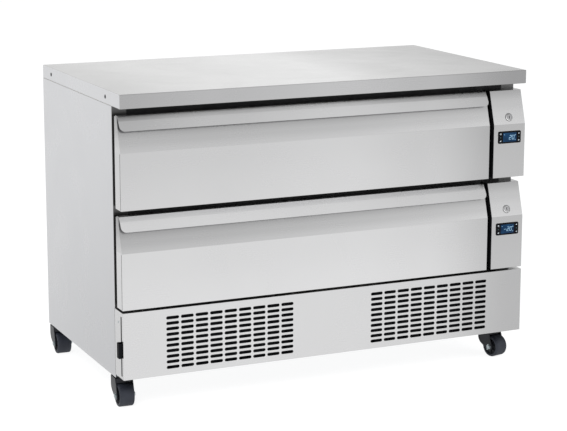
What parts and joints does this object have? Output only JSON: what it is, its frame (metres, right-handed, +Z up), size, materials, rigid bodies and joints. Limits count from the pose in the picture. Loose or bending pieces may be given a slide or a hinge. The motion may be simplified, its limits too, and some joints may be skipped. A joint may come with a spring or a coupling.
{
  "type": "refrigerated drawer counter",
  "caption": "Low stainless refrigerated counter with full-width sloped-front drawers, side control panels, a louvred machine compartment and swivel castors.",
  "frame": {"origin": "centre of the footprint at floor level, under the wheels", "axes": "+X to the right as seen from the front, -Y out of the front, +Z up"},
  "size_m": [1.291, 0.7103, 0.894],
  "materials": {
    "stainless": "satin",
    "galvanised": "matte",
    "foam": "matte",
    "black_plastic": "matte",
    "gasket_rubber": "matte",
    "glossy_black": "gloss",
    "blue_display": "gloss",
    "key_white": "satin",
    "chrome": "polished",
    "white_plastic": "satin",
    "fin_aluminium": "satin",
    "copper": "satin",
    "compressor_black": "satin",
    "castor_black": "satin",
    "wheel_rubber": "matte"
  },
  "bodies": {
    "cabinet": {"worktop": "stainless", "side_panel_left": "stainless", "side_panel_right": "stainless", "back_panel": "galvanised", "base_plate": "galvanised", "front_frame": "stainless", "insulation": "foam", "liners": "stainless", "control_panels": "stainless", "panel_end_caps": "black_plastic", "controllers": "glossy_black", "display_windows": "blue_display", "lock_housings": "chrome", "runner_rails": "galvanised", "air_ducts": "white_plastic", "evaporators": "fin_aluminium", "grille_panel": "stainless", "compressors": "compressor_black", "condensers": "fin_aluminium", "condenser_shrouds": "galvanised", "refrigerant_pipes": "copper", "cable_inlet": "black_plastic", "castor_plates": "castor_black"},
    "drawer_upper": {"drawer_front_upper": "stainless", "drawer_core_upper": "foam", "handle_lip_upper": "stainless", "gasket_upper": "gasket_rubber", "drawer_tub_upper": "stainless", "drawer_slides_upper": "galvanised"},
    "middle_runners_upper": {"runner_middle_upper": "galvanised"},
    "lock_plug_upper": {"lock_plug_upper": "chrome"},
    "key_upper_set": {"key_upper_set": "key_white"},
    "key_upper_light": {"key_upper_light": "key_white"},
    "key_upper_up": {"key_upper_up": "key_white"},
    "key_upper_down": {"key_upper_down": "key_white"},
    "evaporator_fan_upper": {"evaporator_fan_upper": "black_plastic"},
    "drawer_lower": {"drawer_front_lower": "stainless", "drawer_core_lower": "foam", "handle_lip_lower": "stainless", "gasket_lower": "gasket_rubber", "drawer_tub_lower": "stainless", "drawer_slides_lower": "galvanised"},
    "middle_runners_lower": {"runner_middle_lower": "galvanised"},
    "lock_plug_lower": {"lock_plug_lower": "chrome"},
    "key_lower_set": {"key_lower_set": "key_white"},
    "key_lower_light": {"key_lower_light": "key_white"},
    "key_lower_up": {"key_lower_up": "key_white"},
    "key_lower_down": {"key_lower_down": "key_white"},
    "evaporator_fan_lower": {"evaporator_fan_lower": "black_plastic"},
    "condenser_fan_left": {"condenser_fan_left": "black_plastic"},
    "condenser_fan_right": {"condenser_fan_right": "black_plastic"},
    "air_filter": {"air_filter": "black_plastic"},
    "castor_fork_front_left": {"castor_fork_front_left": "castor_black"},
    "castor_wheel_front_left": {"castor_wheel_front_left": "wheel_rubber"},
    "castor_fork_front_right": {"castor_fork_front_right": "castor_black"},
    "castor_wheel_front_right": {"castor_wheel_front_right": "wheel_rubber"},
    "castor_fork_back_left": {"castor_fork_back_left": "castor_black"},
    "castor_wheel_back_left": {"castor_wheel_back_left": "wheel_rubber"},
    "castor_fork_back_right": {"castor_fork_back_right": "castor_black"},
    "castor_wheel_back_right": {"castor_wheel_back_right": "wheel_rubber"}
  },
  "joints": [
    {"name": "drawer_slide_upper", "type": "slide", "parent": "cabinet", "child": "drawer_upper", "axis": [0, -1, 0], "range_m": [0, 0.5]},
    {"name": "middle_runner_slide_upper", "type": "slide", "parent": "cabinet", "child": "middle_runners_upper", "axis": [0, -1, 0], "range_m": [0, 0.25]},
    {"name": "lock_turn_upper", "type": "hinge", "parent": "cabinet", "child": "lock_plug_upper", "pos_m": [0.5865, -0.34364, 0.754], "axis": [0, -0.957, 0.29], "range_deg": [0, 90]},
    {"name": "key_upper_set_press", "type": "slide", "parent": "cabinet", "child": "key_upper_set", "axis": [0, 1, 0], "range_m": [0, 0.0006], "stiffness_N_per_m": 600, "springref_m": -0.0006},
    {"name": "key_upper_light_press", "type": "slide", "parent": "cabinet", "child": "key_upper_light", "axis": [0, 1, 0], "range_m": [0, 0.0006], "stiffness_N_per_m": 600, "springref_m": -0.0006},
    {"name": "key_upper_up_press", "type": "slide", "parent": "cabinet", "child": "key_upper_up", "axis": [0, 1, 0], "range_m": [0, 0.0006], "stiffness_N_per_m": 600, "springref_m": -0.0006},
    {"name": "key_upper_down_press", "type": "slide", "parent": "cabinet", "child": "key_upper_down", "axis": [0, 1, 0], "range_m": [0, 0.0006], "stiffness_N_per_m": 600, "springref_m": -0.0006},
    {"name": "evaporator_fan_turn_upper", "type": "hinge", "parent": "cabinet", "child": "evaporator_fan_upper", "pos_m": [0.4945, -0.195, 0.726], "axis": [1, 0, 0], "continuous": true},
    {"name": "drawer_slide_lower", "type": "slide", "parent": "cabinet", "child": "drawer_lower", "axis": [0, -1, 0], "range_m": [0, 0.5]},
    {"name": "middle_runner_slide_lower", "type": "slide", "parent": "cabinet", "child": "middle_runners_lower", "axis": [0, -1, 0], "range_m": [0, 0.25]},
    {"name": "lock_turn_lower", "type": "hinge", "parent": "cabinet", "child": "lock_plug_lower", "pos_m": [0.5865, -0.34364, 0.474], "axis": [0, -0.957, 0.29], "range_deg": [0, 90]},
    {"name": "key_lower_set_press", "type": "slide", "parent": "cabinet", "child": "key_lower_set", "axis": [0, 1, 0], "range_m": [0, 0.0006], "stiffness_N_per_m": 600, "springref_m": -0.0006},
    {"name": "key_lower_light_press", "type": "slide", "parent": "cabinet", "child": "key_lower_light", "axis": [0, 1, 0], "range_m": [0, 0.0006], "stiffness_N_per_m": 600, "springref_m": -0.0006},
    {"name": "key_lower_up_press", "type": "slide", "parent": "cabinet", "child": "key_lower_up", "axis": [0, 1, 0], "range_m": [0, 0.0006], "stiffness_N_per_m": 600, "springref_m": -0.0006},
    {"name": "key_lower_down_press", "type": "slide", "parent": "cabinet", "child": "key_lower_down", "axis": [0, 1, 0], "range_m": [0, 0.0006], "stiffness_N_per_m": 600, "springref_m": -0.0006},
    {"name": "evaporator_fan_turn_lower", "type": "hinge", "parent": "cabinet", "child": "evaporator_fan_lower", "pos_m": [0.4945, -0.195, 0.446], "axis": [1, 0, 0], "continuous": true},
    {"name": "condenser_fan_turn_left", "type": "hinge", "parent": "cabinet", "child": "condenser_fan_left", "pos_m": [-0.3178, -0.237, 0.18], "axis": [0, 1, 0], "continuous": true},
    {"name": "condenser_fan_turn_right", "type": "hinge", "parent": "cabinet", "child": "condenser_fan_right", "pos_m": [0.3228, -0.237, 0.18], "axis": [0, 1, 0], "continuous": true},
    {"name": "air_filter_slide", "type": "slide", "parent": "cabinet", "child": "air_filter", "axis": [-1, 0, 0], "range_m": [0, 1.1]},
    {"name": "castor_swivel_front_left", "type": "hinge", "parent": "cabinet", "child": "castor_fork_front_left", "pos_m": [-0.615, -0.258, 0.085], "axis": [0, 0, 1], "continuous": true},
    {"name": "castor_roll_front_left", "type": "hinge", "parent": "castor_fork_front_left", "child": "castor_wheel_front_left", "pos_m": [-0.61647, -0.28596, 0.032], "axis": [0.9986, -0.0523, 0], "continuous": true},
    {"name": "castor_swivel_front_right", "type": "hinge", "parent": "cabinet", "child": "castor_fork_front_right", "pos_m": [0.587, -0.258, 0.085], "axis": [0, 0, 1], "continuous": true},
    {"name": "castor_roll_front_right", "type": "hinge", "parent": "castor_fork_front_right", "child": "castor_wheel_front_right", "pos_m": [0.5933, -0.28528, 0.032], "axis": [0.9744, 0.225, 0], "continuous": true},
    {"name": "castor_swivel_back_left", "type": "hinge", "parent": "cabinet", "child": "castor_fork_back_left", "pos_m": [-0.615, 0.319, 0.085], "axis": [0, 0, 1], "continuous": true},
    {"name": "castor_roll_back_left", "type": "hinge", "parent": "castor_fork_back_left", "child": "castor_wheel_back_left", "pos_m": [-0.61647, 0.29104, 0.032], "axis": [0.9986, -0.0523, 0], "continuous": true},
    {"name": "castor_swivel_back_right", "type": "hinge", "parent": "cabinet", "child": "castor_fork_back_right", "pos_m": [0.587, 0.319, 0.085], "axis": [0, 0, 1], "continuous": true},
    {"name": "castor_roll_back_right", "type": "hinge", "parent": "castor_fork_back_right", "child": "castor_wheel_back_right", "pos_m": [0.5933, 0.29172, 0.032], "axis": [0.9744, 0.225, 0], "continuous": true}
  ],
  "couplings": [
    {"joint": "middle_runner_slide_upper", "follows": "drawer_slide_upper", "ratio": 0.5},
    {"joint": "middle_runner_slide_lower", "follows": "drawer_slide_lower", "ratio": 0.5}
  ]
}
